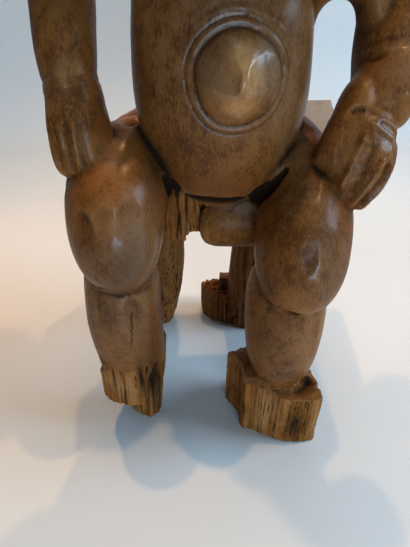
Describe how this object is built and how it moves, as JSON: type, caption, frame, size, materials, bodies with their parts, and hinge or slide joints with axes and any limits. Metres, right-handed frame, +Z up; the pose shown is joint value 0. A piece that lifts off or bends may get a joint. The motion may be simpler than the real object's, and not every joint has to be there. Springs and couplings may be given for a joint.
{
  "type": "mother and child figure",
  "caption": "Seated carved wood figure of a mother with a child in the crook of her arm, on a stool, with broken feet.",
  "frame": {"origin": "on the floor, under the middle of the figure's box", "axes": "+Z up, the mother faces -Y, her left side is at +X"},
  "size_m": [0.3234, 0.2726, 0.7996],
  "materials": {
    "wood": "old hand-polished brown patina, raw split grain on the breaks"
  },
  "bodies": {
    "root": {"mother_and_child": "wood"}
  },
  "joints": []
}
